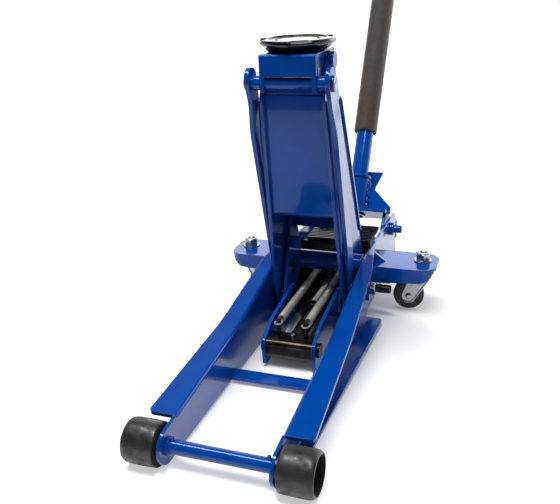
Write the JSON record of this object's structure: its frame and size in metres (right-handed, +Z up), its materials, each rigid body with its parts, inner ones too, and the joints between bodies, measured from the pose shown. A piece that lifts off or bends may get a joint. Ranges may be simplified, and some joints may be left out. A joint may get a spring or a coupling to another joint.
{
  "type": "hydraulic trolley jack",
  "caption": "Low-profile hydraulic trolley jack on rollers and swivel casters, lift arm raised, with parallel links, round saddle and long padded handle.",
  "frame": {"origin": "on the floor, under the middle of the overall box", "axes": "+Y from the front wheels to the handle, +Z up, +X to the right seen from the saddle end"},
  "size_m": [0.392, 1.3122, 0.981],
  "materials": {
    "blue_paint": "glossy enamel over pressed steel",
    "black_paint": "glossy black paint on steel",
    "zinc": "bright zinc plating",
    "steel": "bare machined steel, lightly oiled",
    "spring_steel": "drawn spring wire",
    "polished_rod": "ground and polished",
    "black_wheel": "satin black coating",
    "caster_tread": "moulded black nylon",
    "foam": "closed-cell foam, dull",
    "grip_rubber": "moulded rubber"
  },
  "bodies": {
    "chassis": {"side_plate_left": "blue_paint", "side_plate_right": "blue_paint", "front_tie_bar": "blue_paint", "front_axle": "blue_paint", "axle_washers": "zinc", "axle_retainers": "black_paint", "main_shaft": "steel", "shaft_collars": "blue_paint", "link_pivot_bolts": "blue_paint", "frame_bolts": "black_paint", "frame_nuts": "zinc", "caster_bracket_left": "blue_paint", "caster_bracket_right": "blue_paint", "caster_stem_left": "zinc", "caster_stem_right": "zinc", "hydraulic_block": "black_paint", "ram_cylinder": "black_paint", "cylinder_gland": "steel", "block_bolts": "black_paint", "spring_anchor": "steel", "unit_cover": "black_paint", "pump_barrel": "black_paint", "yoke_pivot_bolts": "blue_paint", "return_spring_left": "spring_steel", "return_spring_right": "spring_steel"},
    "front_wheel_left": {"front_wheel_left": "black_wheel"},
    "front_wheel_right": {"front_wheel_right": "black_wheel"},
    "caster_fork_left": {"caster_fork_left": "zinc"},
    "caster_fork_right": {"caster_fork_right": "zinc"},
    "caster_wheel_left": {"caster_wheel_left": "caster_tread"},
    "caster_wheel_right": {"caster_wheel_right": "caster_tread"},
    "arm": {"arm_plate_left": "blue_paint", "arm_plate_right": "blue_paint", "arm_cover": "blue_paint", "arm_back_plate": "blue_paint", "pivot_tube": "blue_paint", "crank_cheek_left": "blue_paint", "crank_cheek_right": "blue_paint", "crank_pins": "steel", "head_bolts": "blue_paint"},
    "links": {"link_left": "blue_paint", "link_right": "blue_paint", "link_pin": "blue_paint", "link_pin_nuts": "blue_paint", "link_spacers": "blue_paint"},
    "saddle_bracket": {"saddle_bracket": "blue_paint"},
    "saddle": {"saddle": "black_paint"},
    "ram": {"ram_rod": "polished_rod", "crosshead": "steel", "pull_link_left": "blue_paint", "pull_link_right": "blue_paint", "crosshead_pin": "steel", "spring_posts": "steel"},
    "yoke": {"handle_yoke": "blue_paint", "pump_roller": "steel"},
    "handle": {"handle_tube": "blue_paint", "foam_sleeve": "foam", "handle_grip": "grip_rubber"},
    "pump_plunger": {"pump_plunger": "steel"},
    "release_valve": {"release_valve": "zinc"}
  },
  "joints": [
    {"name": "front_wheel_left_spin", "type": "hinge", "parent": "chassis", "child": "front_wheel_left", "pos_m": [-0.1, -0.62509, 0.031], "axis": [1, 0, 0], "continuous": true},
    {"name": "caster_left_swivel", "type": "hinge", "parent": "chassis", "child": "caster_fork_left", "pos_m": [-0.168, -0.08509, 0.08], "axis": [0, 0, 1], "continuous": true},
    {"name": "caster_left_roll", "type": "hinge", "parent": "caster_fork_left", "child": "caster_wheel_left", "pos_m": [-0.14413, -0.0876, 0.028], "axis": [-0.1045, -0.9945, 0], "continuous": true},
    {"name": "front_wheel_right_spin", "type": "hinge", "parent": "chassis", "child": "front_wheel_right", "pos_m": [0.1, -0.62509, 0.031], "axis": [1, 0, 0], "continuous": true},
    {"name": "caster_right_swivel", "type": "hinge", "parent": "chassis", "child": "caster_fork_right", "pos_m": [0.168, -0.08509, 0.08], "axis": [0, 0, 1], "continuous": true},
    {"name": "caster_right_roll", "type": "hinge", "parent": "caster_fork_right", "child": "caster_wheel_right", "pos_m": [0.14413, -0.0876, 0.028], "axis": [0.1045, -0.9945, 0], "continuous": true},
    {"name": "arm_lift", "type": "hinge", "parent": "chassis", "child": "arm", "pos_m": [0, -0.16309, 0.112], "axis": [1, 0, 0], "range_deg": [0, 85]},
    {"name": "link_swing", "type": "hinge", "parent": "chassis", "child": "links", "pos_m": [0, -0.20909, 0.085], "axis": [1, 0, 0], "range_deg": [0, 85]},
    {"name": "bracket_level", "type": "hinge", "parent": "arm", "child": "saddle_bracket", "pos_m": [0, -0.25109, 0.474], "axis": [1, 0, 0], "range_deg": [-85, 0]},
    {"name": "saddle_turn", "type": "hinge", "parent": "saddle_bracket", "child": "saddle", "pos_m": [0, -0.25509, 0.489], "axis": [0, 0, 1], "continuous": true},
    {"name": "ram_slide", "type": "slide", "parent": "chassis", "child": "ram", "axis": [0, 1, 0], "range_m": [0, 0.09441], "deforming": ["return_spring_left", "return_spring_right"]},
    {"name": "yoke_pump", "type": "hinge", "parent": "chassis", "child": "yoke", "pos_m": [0, 0.05191, 0.1], "axis": [-1, 0, 0], "range_deg": [-20, 45]},
    {"name": "handle_twist", "type": "hinge", "parent": "yoke", "child": "handle", "pos_m": [0, 0.08012, 0.1245], "axis": [0, 0.5519, 0.8339], "range_deg": [0, 90]},
    {"name": "plunger_slide", "type": "slide", "parent": "chassis", "child": "pump_plunger", "axis": [0, 1, 0], "range_m": [-0.0158, 0.0071]},
    {"name": "release_turn", "type": "hinge", "parent": "chassis", "child": "release_valve", "pos_m": [0, -0.01009, 0.044], "axis": [0, 1, 0], "range_deg": [0, 90]}
  ],
  "couplings": [
    {"joint": "link_swing", "follows": "arm_lift", "ratio": 1},
    {"joint": "bracket_level", "follows": "arm_lift", "ratio": -1},
    {"joint": "ram_slide", "follows": "arm_lift", "m_per_rad": 0.063573},
    {"joint": "plunger_slide", "follows": "yoke_pump", "m_per_rad": -0.02},
    {"joint": "release_turn", "follows": "handle_twist", "ratio": 1}
  ]
}
